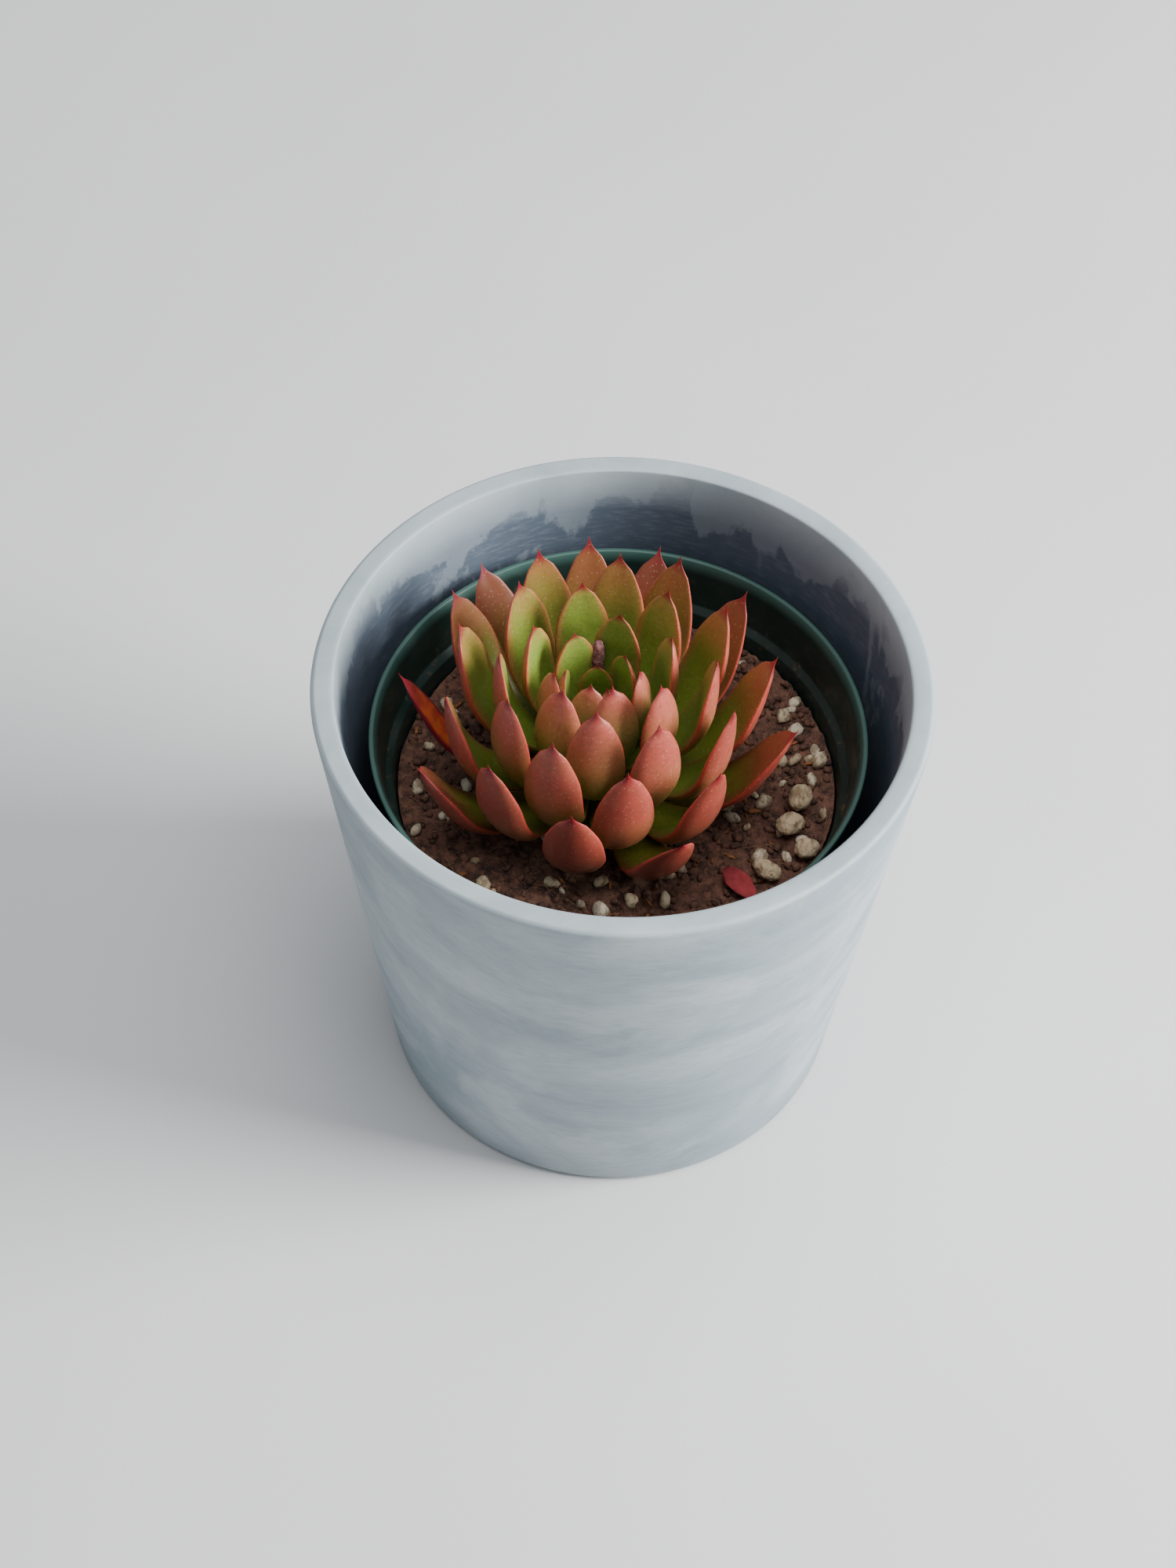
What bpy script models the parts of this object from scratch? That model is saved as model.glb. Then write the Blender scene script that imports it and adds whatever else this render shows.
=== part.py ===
"""Potted rosette succulent: an echeveria in a thin nursery pot, standing inside a thick planter.

Units are metres and +Z is up. The origin is the middle of the planter's underside.
Every leaf, flower-stalk stub, loose stone and pot is an object of its own, 0.3 mm clear of its neighbours.
"""

from collections import namedtuple
from math import cos, pi, radians, sin

import bmesh
import bpy
import numpy as np
from mathutils import Euler, Matrix, Vector

MM = 0.001
GAP = 0.3 * MM                 # clearance between neighbouring pieces
ROUND_STEPS = 64               # facets round each turned shape

# Planter: a tapered outer pot with a thick wall and a flat rim.
PLANTER_HEIGHT = 132 * MM
PLANTER_TOP_RADIUS = 75 * MM
PLANTER_FOOT_RADIUS = 58.5 * MM
PLANTER_WALL = 5.7 * MM
PLANTER_FLOOR = 7 * MM
RIM_ROUNDING = 1.0 * MM

# Nursery pot: a thin 12 cm pot with a wide upper band, standing on the planter's floor.
NURSERY_CENTRE = Vector((-0.6 * MM, 0.0, 0.0))
NURSERY_TOP = 112.4 * MM
NURSERY_RIM_RADIUS = 60.9 * MM
NURSERY_BAND_FOOT = 99 * MM
NURSERY_WALL = 0.9 * MM
NURSERY_BODY_RADIUS = 56.2 * MM
NURSERY_FOOT_RADIUS = 45 * MM
DRAIN_HOLES = 6
DRAIN_HOLE_RADIUS = 4.5 * MM

# Potting mix and the short stem that stands in it.
SOIL_TOP = 93 * MM
STEM_CENTRE = Vector((-6.5 * MM, -1.5 * MM, 0.0))
STEM_FOOT = 84 * MM
STEM_TOP = 113.5 * MM
STEM_FOOT_RADIUS = 4.2 * MM
STEM_TOP_RADIUS = 1.7 * MM

# Rosette: the leaves sit on the stem in one rising order, the lowest and oldest first.
LOWEST_LEAF = 95 * MM
HIGHEST_LEAF = 114 * MM
LEAF_SIDES = 8
LEAF_RINGS = 9
LEAF_THICKNESS = 0.32          # of the leaf's width
LEAF_BASE_WIDTH = 0.26         # of the leaf's width
BEND_START = 0.20              # a leaf turns up between these shares of its length
BEND_END = 0.68
WIDEST_AT = 0.62               # of the way from base to tip
UPPER_SHARE = 0.30             # of the thickness, above the leaf's middle line
CUPPING = 0.05                 # how far the edges stand up, of the width
WRONG_SIDE = 2.0 * MM          # how far past a neighbour a leaf may start and still be brought back
PRESS_CLEARANCE = 0.9 * MM     # between two leaves pressed together, before the facets take their share

Leaf = namedtuple("Leaf", "azimuth base_lean tip_lean length width")

# The rosette grows as one spiral: each leaf stands a golden angle round from the one below it.
LEAF_COUNT = 48
GOLDEN_ANGLE = 137.5
FIRST_AZIMUTH = 296.0
LONGEST_LEAF = 62.0            # mm, as are the widths
WIDEST_LEAF = 13.2
FRONT_LIFT = 14.0              # degrees that leaves on the near side turn up beyond the others
DRIED_WIDTH = 0.55             # the dried leaf's width, as a share of a fresh one's
DRIED_LEAF = 7                 # place in the rising order of the thin leaf that has dried on the plant

# Withered flower stalks: the points each one passes through, and its radius.
STALK_RADIUS = 1.2 * MM
STALK_CLEARANCE = 0.7 * MM       # between a stalk and the corners of the leaves beside it
STALKS = {
    "flower_stalk_stub_back": [(-6.8, 2.8, 111), (-6.6, 8.2, 119), (-6.2, 10.8, 133)],
    "flower_stalk_stub_front": [(-7.0, -5.4, 109), (-7.4, -13.0, 117), (-7.4, -20.5, 131)],
}

# Loose pumice on the mix: middle, and half sizes along, across and up, in mm, then a turn in degrees.
STONES = {
    "pumice_stone_large": ((44.8, -6.0, 97.0), (4.6, 3.4, 2.6), 75),
    "pumice_stone_round": ((42.0, -14.8, 97.2), (4.3, 3.4, 2.8), 35),
    "pumice_stone_pale": ((46.0, -21.8, 97.0), (3.6, 2.9, 2.6), 20),
    "pumice_stone_front": ((36.4, -28.8, 96.8), (4.2, 3.0, 2.5), 150),
}
FALLEN_LEAF_AT = (29.6, -32.5, 95.6)
FALLEN_LEAF_SIZE = (6.5, 3.4, 1.5)


def grown_leaf(order):
    """The leaf at one place in the spiral: lower leaves are long and spread, upper ones short and upright."""
    share = order / (LEAF_COUNT - 1)
    azimuth = (FIRST_AZIMUTH + GOLDEN_ANGLE * order) % 360.0
    base_lean = 4.0 + 72.0 * share**1.5
    tip_lean = 50.0 + 45.0 * share**0.6 + FRONT_LIFT * max(0.0, -sin(radians(azimuth)))
    length = LONGEST_LEAF * (1.0 - 0.82 * share**2.6)
    width = WIDEST_LEAF * (1.0 - 0.6 * share**4)
    if order == DRIED_LEAF:
        width *= DRIED_WIDTH
    return Leaf(azimuth, base_lean, tip_lean, length, width)


LEAVES = [grown_leaf(order) for order in range(LEAF_COUNT)]


def clear_scene():
    """Remove every object of the open file."""
    for thing in list(bpy.data.objects):
        bpy.data.objects.remove(thing, do_unlink=True)


def new_collection(name):
    """A new collection linked to the scene."""
    group = bpy.data.collections.new(name)
    bpy.context.scene.collection.children.link(group)
    return group


def material(name, colour, roughness, metallic=0.0):
    """A plain Principled material."""
    made = bpy.data.materials.new(name)
    made.use_nodes = True
    shader = made.node_tree.nodes["Principled BSDF"]
    shader.inputs["Base Color"].default_value = (*colour, 1.0)
    shader.inputs["Roughness"].default_value = roughness
    shader.inputs["Metallic"].default_value = metallic
    return made


def add_object(name, mesh, group, look):
    """A smooth-shaded object with one material, in a collection."""
    made = bpy.data.objects.new(name, mesh)
    group.objects.link(made)
    mesh.materials.append(look)
    mesh.shade_smooth()
    mesh.set_sharp_from_angle(angle=radians(40))
    return made


def turned(name, profile, group, look, centre=(0.0, 0.0, 0.0), steps=ROUND_STEPS):
    """A profile of (radius, height) points, outer side first and top to bottom, turned round Z."""
    mesh = bpy.data.meshes.new(name)
    points = [(radius, 0.0, height) for radius, height in profile]
    edges = [(i, i + 1) for i in range(len(points) - 1)]
    if profile[0][0] > 0.0:
        edges.append((len(points) - 1, 0))
    mesh.from_pydata(points, edges, [])
    made = add_object(name, mesh, group, look)
    made.location = centre
    screw = made.modifiers.new("turn", "SCREW")
    screw.steps = steps
    screw.render_steps = steps
    screw.use_merge_vertices = True
    screw.merge_threshold = 0.00001
    return made


def planter_radius(height):
    """Outer radius of the planter's straight tapered side."""
    share = height / PLANTER_HEIGHT
    return PLANTER_FOOT_RADIUS + (PLANTER_TOP_RADIUS - PLANTER_FOOT_RADIUS) * share


def build_planter(group):
    """The thick outer pot: rounded rim edges, a small chamfer at the foot and a flat floor."""
    r = RIM_ROUNDING
    foot = 1.5 * MM
    inner_top = PLANTER_TOP_RADIUS - PLANTER_WALL
    inner_floor = planter_radius(PLANTER_FLOOR) - PLANTER_WALL
    profile = [
        (PLANTER_TOP_RADIUS - r, PLANTER_HEIGHT),
        (PLANTER_TOP_RADIUS - 0.3 * r, PLANTER_HEIGHT - 0.3 * r),
        (planter_radius(PLANTER_HEIGHT - r), PLANTER_HEIGHT - r),
        (planter_radius(0.5 * PLANTER_HEIGHT), 0.5 * PLANTER_HEIGHT),
        (planter_radius(foot), foot),
        (PLANTER_FOOT_RADIUS - foot, 0.0),
        (PLANTER_FOOT_RADIUS - 8 * MM, 0.0),
        (PLANTER_FOOT_RADIUS - 9 * MM, 1.2 * MM),
        (0.0, 1.2 * MM),
        (0.0, PLANTER_FLOOR),
        (inner_floor - 3 * MM, PLANTER_FLOOR),
        (inner_floor + 0.3 * MM, PLANTER_FLOOR + 3 * MM),
        (planter_radius(0.5 * PLANTER_HEIGHT) - PLANTER_WALL, 0.5 * PLANTER_HEIGHT),
        (inner_top, PLANTER_HEIGHT - r),
        (inner_top + 0.3 * r, PLANTER_HEIGHT - 0.3 * r),
        (inner_top + r, PLANTER_HEIGHT),
    ]
    look = material("grey_blue_planter", (0.50, 0.56, 0.60), 0.55)
    # The profile starts on the axis underneath and ends on the axis inside, so both ends close.
    start = profile.index((0.0, PLANTER_FLOOR))
    outline = profile[start:] + profile[:start]
    return turned("planter", outline, group, look)


def nursery_radius(height):
    """Outer radius of the nursery pot's body below its ledge."""
    foot = PLANTER_FLOOR + GAP
    share = (height - foot) / (NURSERY_BAND_FOOT - foot)
    return NURSERY_FOOT_RADIUS + (NURSERY_BODY_RADIUS - NURSERY_FOOT_RADIUS) * share


def build_nursery_pot(group, cutters):
    """The thin inner pot: a lipped band above a ledge, a tapered body and drain holes in its floor."""
    foot = PLANTER_FLOOR + GAP
    wall = NURSERY_WALL
    band = NURSERY_BAND_FOOT
    lip = 1.6 * MM
    band_radius = NURSERY_RIM_RADIUS - 1.4 * MM
    profile = [
        (0.0, foot + wall),
        (NURSERY_FOOT_RADIUS - wall - 1.5 * MM, foot + wall),
        (NURSERY_FOOT_RADIUS - wall, foot + wall + 1.5 * MM),
        (NURSERY_BODY_RADIUS - wall, band - wall),
        (NURSERY_BODY_RADIUS + 1.2 * MM, band + 0.2 * MM),
        (band_radius - wall, NURSERY_TOP - lip - 2 * wall),
        (NURSERY_RIM_RADIUS - 1.2 * wall, NURSERY_TOP),
        (NURSERY_RIM_RADIUS, NURSERY_TOP - 0.2 * MM),
        (NURSERY_RIM_RADIUS, NURSERY_TOP - lip),
        (band_radius, NURSERY_TOP - lip - wall),
        (NURSERY_BODY_RADIUS + 1.8 * MM, band - 0.6 * MM),
        (NURSERY_BODY_RADIUS, band - 2 * wall),
        (NURSERY_FOOT_RADIUS, foot + 1.5 * MM),
        (NURSERY_FOOT_RADIUS - 1.5 * MM, foot),
        (0.0, foot),
    ]
    look = material("dark_green_plastic", (0.03, 0.10, 0.08), 0.45)
    pot = turned("nursery_pot", profile, group, look, centre=NURSERY_CENTRE)
    drill = cutters_for_drains(cutters, foot)
    cut = pot.modifiers.new("drain_holes", "BOOLEAN")
    cut.operation = "DIFFERENCE"
    cut.solver = "EXACT"
    cut.object = drill
    return pot


def cutters_for_drains(cutters, floor):
    """One cutter object of upright cylinders, one for each drain hole."""
    shape = bmesh.new()
    for i in range(DRAIN_HOLES):
        turn = Matrix.Rotation(i * 2 * pi / DRAIN_HOLES, 4, "Z")
        place = turn @ Matrix.Translation((0.65 * NURSERY_FOOT_RADIUS, 0.0, floor))
        bmesh.ops.create_cone(
            shape, cap_ends=True, segments=16, radius1=DRAIN_HOLE_RADIUS, radius2=DRAIN_HOLE_RADIUS,
            depth=6 * MM, matrix=place,
        )
    mesh = bpy.data.meshes.new("drain_hole_cutter")
    shape.to_mesh(mesh)
    shape.free()
    drill = bpy.data.objects.new("drain_hole_cutter", mesh)
    drill.location = NURSERY_CENTRE
    drill.hide_render = True
    drill.display_type = "WIRE"
    cutters.objects.link(drill)
    return drill


def build_stem(group):
    """The short stem, wider at its foot, with a rounded top."""
    profile = [
        (0.0, STEM_TOP + 1.0 * MM),
        (0.8 * STEM_TOP_RADIUS, STEM_TOP),
        (STEM_TOP_RADIUS, STEM_TOP - 1.5 * MM),
        (STEM_FOOT_RADIUS, LOWEST_LEAF),
        (STEM_FOOT_RADIUS, STEM_FOOT + 1.0 * MM),
        (0.6 * STEM_FOOT_RADIUS, STEM_FOOT),
        (0.0, STEM_FOOT),
    ]
    look = material("stem_bark", (0.35, 0.28, 0.16), 0.7)
    return turned("stem", profile, group, look, centre=STEM_CENTRE, steps=16)


def soil_height(x, y):
    """Top of the potting mix: nearly level, with low mounds."""
    waves = 0.55 * sin(90 * x + 1.3) * cos(75 * y) + 0.35 * sin(210 * y - 140 * x)
    return SOIL_TOP + waves * MM


def build_soil(group, cutters):
    """The potting mix fills the nursery pot up to SOIL_TOP, with a socket for the stem."""
    foot = PLANTER_FLOOR + GAP + NURSERY_WALL + GAP
    wall = NURSERY_WALL + GAP
    rings = 7
    top_radius = nursery_radius(SOIL_TOP) - wall
    shape = bmesh.new()
    bmesh.ops.create_cone(
        shape, cap_ends=True, cap_tris=True, segments=32, depth=SOIL_TOP - foot,
        radius1=NURSERY_FOOT_RADIUS - wall - 1.4 * MM, radius2=top_radius,
        matrix=Matrix.Translation((0.0, 0.0, 0.5 * (SOIL_TOP + foot))),
    )
    spokes = [e for e in shape.edges if is_top_spoke(e)]
    bmesh.ops.subdivide_edges(shape, edges=spokes, cuts=rings - 1, use_grid_fill=True)
    for vertex in shape.verts:
        if vertex.co.z > SOIL_TOP - 1 * MM:
            vertex.co.z = soil_height(vertex.co.x, vertex.co.y)
    mesh = bpy.data.meshes.new("potting_mix")
    shape.to_mesh(mesh)
    shape.free()
    look = material("potting_mix", (0.07, 0.045, 0.03), 0.95)
    soil = add_object("potting_mix", mesh, group, look)
    soil.location = NURSERY_CENTRE
    cut = soil.modifiers.new("stem_socket", "BOOLEAN")
    cut.operation = "DIFFERENCE"
    cut.solver = "EXACT"
    cut.object = stem_cutter(cutters)
    return soil


def is_top_spoke(edge):
    """Whether an edge runs from the middle of the soil's top to its rim."""
    lengths = sorted(vertex.co.xy.length for vertex in edge.verts)
    return min(v.co.z for v in edge.verts) > SOIL_TOP - 1 * MM and lengths[0] < 1 * MM < lengths[1]


def stem_cutter(cutters):
    """A cylinder a gap wider than the stem's foot."""
    shape = bmesh.new()
    radius = STEM_FOOT_RADIUS + GAP
    height = 2 * (SOIL_TOP - STEM_FOOT + GAP)
    bmesh.ops.create_cone(shape, cap_ends=True, segments=16, radius1=radius, radius2=radius, depth=height)
    mesh = bpy.data.meshes.new("stem_socket_cutter")
    shape.to_mesh(mesh)
    shape.free()
    made = bpy.data.objects.new("stem_socket_cutter", mesh)
    made.location = (STEM_CENTRE.x, STEM_CENTRE.y, SOIL_TOP)
    made.hide_render = True
    made.display_type = "WIRE"
    cutters.objects.link(made)
    return made


def ball(name, sides, rings):
    """A mesh of a unit ball with its poles on Z."""
    shape = bmesh.new()
    bmesh.ops.create_uvsphere(shape, u_segments=sides, v_segments=rings, radius=1.0)
    mesh = bpy.data.meshes.new(name)
    shape.to_mesh(mesh)
    shape.free()
    return mesh


def coordinates(mesh):
    """The vertices of a mesh as an array of rows."""
    flat = np.empty(3 * len(mesh.vertices))
    mesh.vertices.foreach_get("co", flat)
    return flat.reshape(-1, 3)


def set_coordinates(mesh, rows):
    """Move the vertices of a mesh."""
    mesh.vertices.foreach_set("co", np.asarray(rows, dtype=np.float32).ravel())
    mesh.update()


def leaf_base(order):
    """Where the leaf of this place in the rising order leaves the stem: radius and height."""
    share = order / (len(LEAVES) - 1)
    radius = 4.6 * MM - 2.6 * MM * share
    height = LOWEST_LEAF + (HIGHEST_LEAF - LOWEST_LEAF) * share**1.2
    return radius, height


def middle_line(leaf, stations):
    """Outward distance, height and lean of a leaf's middle line at each station from 0 to 1."""
    fine = np.linspace(0.0, 1.0, 81)
    bend = np.clip((fine - BEND_START) / (BEND_END - BEND_START), 0.0, 1.0)
    lean = np.radians(leaf.base_lean + (leaf.tip_lean - leaf.base_lean) * bend**2 * (3.0 - 2.0 * bend))
    step = leaf.length * MM / (len(fine) - 1)
    out = np.concatenate([[0.0], np.cumsum(0.5 * (np.cos(lean[1:]) + np.cos(lean[:-1])) * step)])
    up = np.concatenate([[0.0], np.cumsum(0.5 * (np.sin(lean[1:]) + np.sin(lean[:-1])) * step)])
    return np.interp(stations, fine, out), np.interp(stations, fine, up), np.interp(stations, fine, lean)


def outline(station):
    """Half width of a leaf along its length, as a share of its greatest half width."""
    below = np.clip(station / WIDEST_AT, 0.0, 1.0)
    above = np.clip((station - WIDEST_AT) / (1.0 - WIDEST_AT), 0.0, 1.0)
    widening = LEAF_BASE_WIDTH + (1.0 - LEAF_BASE_WIDTH) * np.sin(0.5 * pi * below) ** 1.3
    return np.where(station < WIDEST_AT, widening, (1.0 - above**1.9) ** 0.95)


def leaf_faces(leaf, station, across):
    """Height of a leaf's lower and upper face over its middle line, across from -1 to 1."""
    width = leaf.width * MM
    thick = width * LEAF_THICKNESS * (0.36 + 0.64 * np.sin(pi * station**0.9) ** 0.8)
    thick = thick * np.sqrt(np.clip((1.0 - station) / 0.25, 0.05, 1.0))
    face = np.sqrt(np.clip(1.0 - across**2, 0.0, 1.0))
    cup = CUPPING * width * across**2 * outline(station)
    lower = cup - thick * (1.0 - UPPER_SHARE) * face
    upper = cup + thick * UPPER_SHARE * face * (1.0 - 0.35 * face**2)
    return lower, upper


def leaf_shape(unit, leaf, order):
    """Bend a unit ball into one leaf, in world coordinates: the ball's lower pole is the leaf's base."""
    station = 0.5 * (1.0 + unit[:, 2])
    girth = np.hypot(unit[:, 0], unit[:, 1])
    across = np.where(girth < 1e-6, 0.0, unit[:, 0] / np.maximum(girth, 1e-6))
    lower, upper = leaf_faces(leaf, station, across)
    rise = np.where(unit[:, 1] > 0.0, upper, lower)
    rise = np.where(girth < 1e-6, 0.0, rise)
    side = 0.5 * leaf.width * MM * outline(station) * across
    out, up, lean = middle_line(leaf, station)
    radius, height = leaf_base(order)
    along = radius + out - rise * np.sin(lean)
    turn = radians(leaf.azimuth)
    return np.stack([
        STEM_CENTRE[0] + along * cos(turn) - side * sin(turn),
        STEM_CENTRE[1] + along * sin(turn) + side * cos(turn),
        height + up + rise * np.cos(lean),
    ], axis=1)


def place_on_leaf(points, leaf, order):
    """Where points lie on a leaf: station, across, height over the middle line, and overshoot past its ends."""
    turn = radians(leaf.azimuth)
    radius, height = leaf_base(order)
    away = points[:, :2] - np.array(STEM_CENTRE[:2])
    outward = away @ np.array([cos(turn), sin(turn)]) - radius
    side = away @ np.array([-sin(turn), cos(turn)])
    level = points[:, 2] - height
    fine = np.linspace(0.0, 1.0, 41)
    out, up, lean = middle_line(leaf, fine)
    near_to = ((outward[:, None] - out) ** 2 + (level[:, None] - up) ** 2).argmin(axis=1)
    far_out = outward - out[near_to]
    far_up = level - up[near_to]
    rise = far_up * np.cos(lean[near_to]) - far_out * np.sin(lean[near_to])
    past = np.abs(far_out * np.cos(lean[near_to]) + far_up * np.sin(lean[near_to]))
    station = fine[near_to]
    half = 0.5 * leaf.width * MM * outline(station)
    normal = np.stack([
        -np.sin(lean[near_to]) * cos(turn), -np.sin(lean[near_to]) * sin(turn), np.cos(lean[near_to]),
    ], axis=1)
    return station, side / np.maximum(half, 0.2 * MM), rise, past, normal


def clash_depth(points, leaf, order, above, clearance):
    """How far points must move along a leaf's normal to lie clear of it, on its upper or lower side."""
    station, across, rise, past, normal = place_on_leaf(points, leaf, order)
    lower, upper = leaf_faces(leaf, station, across)
    inside = (np.abs(across) < 1.05) & (past < 1.5 * MM)
    if above:
        inside &= (rise < upper + clearance) & (rise > lower - WRONG_SIDE)
        return np.where(inside, upper + clearance - rise, 0.0), normal
    inside &= (rise > lower - clearance) & (rise < upper + WRONG_SIDE)
    return np.where(inside, rise - lower + clearance, 0.0), -normal


def near(a, b, margin):
    """Whether the boxes around two sets of points come within the margin."""
    return bool(np.all(a.min(0) - margin < b.max(0)) and np.all(b.min(0) - margin < a.max(0)))


def press_apart(shapes, stalks):
    """Dent neighbouring leaves, half each, to lie clear of each other and of the flower stalks."""
    pressed = []
    for i, rows in enumerate(shapes):
        moves = np.zeros_like(rows)
        for j, other in enumerate(shapes):
            if i != j and near(rows, other, 2 * GAP):
                depth, normal = clash_depth(rows, LEAVES[j], j, i > j, PRESS_CLEARANCE)
                moves += 0.5 * depth[:, None] * normal
        pressed.append(rows + moves)
    for rows in pressed:
        for line in stalks:
            keep_off_line(rows, line, STALK_RADIUS + STALK_CLEARANCE)
        keep_inside_pots(rows)
    return pressed


def keep_off_line(points, line, clearance):
    """Move points straight away from the nearest point of a line until they are clear of it."""
    away = points[:, None, :] - line[None, :, :]
    nearest = np.linalg.norm(away, axis=2).argmin(axis=1)
    away = away[np.arange(len(points)), nearest]
    distance = np.maximum(np.linalg.norm(away, axis=1), 0.01 * MM)
    points += away * np.maximum(0.0, clearance / distance - 1.0)[:, None]


def keep_inside_pots(points):
    """Hold points above the potting mix and inside both pots' walls."""
    points[:, 2] = np.maximum(points[:, 2], SOIL_TOP + 1.0 * MM + GAP)
    for centre, wall, top in (
        (NURSERY_CENTRE, NURSERY_BODY_RADIUS - 1.6 * MM, NURSERY_BAND_FOOT + 1.0 * MM),
        (NURSERY_CENTRE, NURSERY_BODY_RADIUS + 0.2 * MM, NURSERY_TOP + 0.8 * MM),
        (Vector((0.0, 0.0, 0.0)), PLANTER_TOP_RADIUS - PLANTER_WALL - 2 * MM, PLANTER_HEIGHT + 2 * MM),
    ):
        away = points[:, :2] - np.array(centre.xy)
        radius = np.hypot(away[:, 0], away[:, 1])
        too_wide = (points[:, 2] < top) & (radius > wall)
        points[too_wide, :2] -= away[too_wide] * (1.0 - wall / radius[too_wide])[:, None]


def stalk_line(points):
    """Many points along the smooth line through three points."""
    start, middle, end = np.array(points) * MM
    bend = 2.0 * middle - 0.5 * (start + end)
    t = np.linspace(0.0, 1.0, 30)[:, None]
    return (1 - t) ** 2 * start + 2 * t * (1 - t) * bend + t**2 * end


def tube(name, points, radius, group, look):
    """A round stub along a smooth line, as one closed mesh that tapers at its foot."""
    line = bpy.data.curves.new(name, "CURVE")
    line.dimensions = "3D"
    line.bevel_depth = radius
    line.bevel_resolution = 1
    line.resolution_u = 3
    line.use_fill_caps = True
    spline = line.splines.new("BEZIER")
    spline.bezier_points.add(len(points) - 1)
    for knot, point in zip(spline.bezier_points, points):
        knot.co = Vector(point) * MM
        knot.handle_left_type = "AUTO"
        knot.handle_right_type = "AUTO"
    spline.bezier_points[0].radius = 0.5
    spline.bezier_points[-1].radius = 0.8
    curve = bpy.data.objects.new(name, line)
    group.objects.link(curve)
    seen = curve.evaluated_get(bpy.context.evaluated_depsgraph_get())
    mesh = bpy.data.meshes.new_from_object(seen)
    bpy.data.objects.remove(curve, do_unlink=True)
    shape = bmesh.new()
    shape.from_mesh(mesh)
    bmesh.ops.remove_doubles(shape, verts=shape.verts, dist=0.00001)
    shape.to_mesh(mesh)
    shape.free()
    mesh.name = name
    return add_object(name, mesh, group, look)


def build_stones(group):
    """Loose pumice: lumpy balls lying on the mix."""
    look = material("pumice", (0.62, 0.54, 0.40), 0.9)
    for number, (name, (middle, size, turn)) in enumerate(STONES.items()):
        mesh = ball(name, 8, 6)
        rows = coordinates(mesh)
        lumps = 1.0 + 0.08 * np.sin(5 * rows[:, 0] + 2 * number) * np.cos(4 * rows[:, 1] + number)
        set_coordinates(mesh, rows * np.array(size) * MM * lumps[:, None])
        stone = add_object(name, mesh, group, look)
        stone.location = Vector(middle) * MM
        stone.rotation_euler = Euler((0.0, 0.0, radians(turn)))


def build_fallen_leaf(group):
    """A withered leaf that has dropped onto the mix, folded along its length."""
    mesh = ball("fallen_leaf", 8, 6)
    rows = coordinates(mesh)
    size = np.array(FALLEN_LEAF_SIZE) * MM
    rows = np.stack([rows[:, 2], rows[:, 0], rows[:, 1]], axis=1) * size
    rows[:, 2] += 0.35 * np.abs(rows[:, 1]) + 18.0 * rows[:, 0] ** 2
    set_coordinates(mesh, rows)
    leaf = add_object("fallen_leaf", mesh, group, material("withered_leaf", (0.25, 0.03, 0.03), 0.6))
    leaf.location = Vector(FALLEN_LEAF_AT) * MM
    leaf.rotation_euler = Euler((0.0, 0.0, radians(-52)))
    return leaf


def build_leaves(group):
    """Shape every leaf, let the leaves press apart, and place each one at its own base."""
    unit_mesh = ball("leaf_unit", LEAF_SIDES, LEAF_RINGS)
    unit = coordinates(unit_mesh)
    shapes = [leaf_shape(unit, leaf, order) for order, leaf in enumerate(LEAVES)]
    shapes = press_apart(shapes, [stalk_line(points) for points in STALKS.values()])
    fresh = material("leaf_green", (0.28, 0.36, 0.10), 0.4)
    blushed = material("leaf_blushed", (0.55, 0.26, 0.16), 0.4)
    dried = material("leaf_dried", (0.45, 0.12, 0.06), 0.6)
    for order, (leaf, rows) in enumerate(zip(LEAVES, shapes)):
        radius, height = leaf_base(order)
        turn = Matrix.Rotation(radians(leaf.azimuth), 3, "Z")
        base = STEM_CENTRE + turn @ Vector((radius, 0.0, 0.0)) + Vector((0.0, 0.0, height))
        mesh = unit_mesh.copy()
        mesh.name = f"leaf_{order + 1:02d}"
        set_coordinates(mesh, (rows - np.array(base)) @ np.array(turn))
        look = dried if order == DRIED_LEAF else blushed if order < 24 else fresh
        made = add_object(mesh.name, mesh, group, look)
        made.location = base
        made.rotation_euler = turn.to_euler()
    bpy.data.meshes.remove(unit_mesh)


def main():
    clear_scene()
    group = new_collection("potted_succulent")
    cutters = new_collection("cutters")
    build_planter(group)
    build_nursery_pot(group, cutters)
    build_soil(group, cutters)
    build_stem(group)
    stalk_look = material("withered_stalk", (0.32, 0.16, 0.14), 0.7)
    for name, points in STALKS.items():
        tube(name, points, STALK_RADIUS, group, stalk_look)
    build_stones(group)
    build_fallen_leaf(group)
    build_leaves(group)


main()
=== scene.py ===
"""Looks for the potted succulent: leaves, soil, pots, light and camera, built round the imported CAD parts."""

from math import cos, pi, radians, sin

import bmesh
import bpy
import numpy as np
from mathutils import Matrix, Vector, noise


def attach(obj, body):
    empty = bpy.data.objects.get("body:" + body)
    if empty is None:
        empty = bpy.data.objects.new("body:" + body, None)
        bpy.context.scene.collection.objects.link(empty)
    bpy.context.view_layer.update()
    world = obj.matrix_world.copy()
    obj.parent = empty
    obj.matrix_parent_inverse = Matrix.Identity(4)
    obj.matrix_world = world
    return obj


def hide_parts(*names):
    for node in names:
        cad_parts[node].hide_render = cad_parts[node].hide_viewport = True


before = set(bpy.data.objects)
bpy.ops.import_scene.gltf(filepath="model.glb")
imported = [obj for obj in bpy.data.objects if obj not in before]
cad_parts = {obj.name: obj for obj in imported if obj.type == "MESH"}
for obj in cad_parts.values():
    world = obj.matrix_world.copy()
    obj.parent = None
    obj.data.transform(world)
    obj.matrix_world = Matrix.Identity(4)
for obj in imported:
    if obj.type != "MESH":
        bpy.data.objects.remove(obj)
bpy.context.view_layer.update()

MM = 0.001
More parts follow.
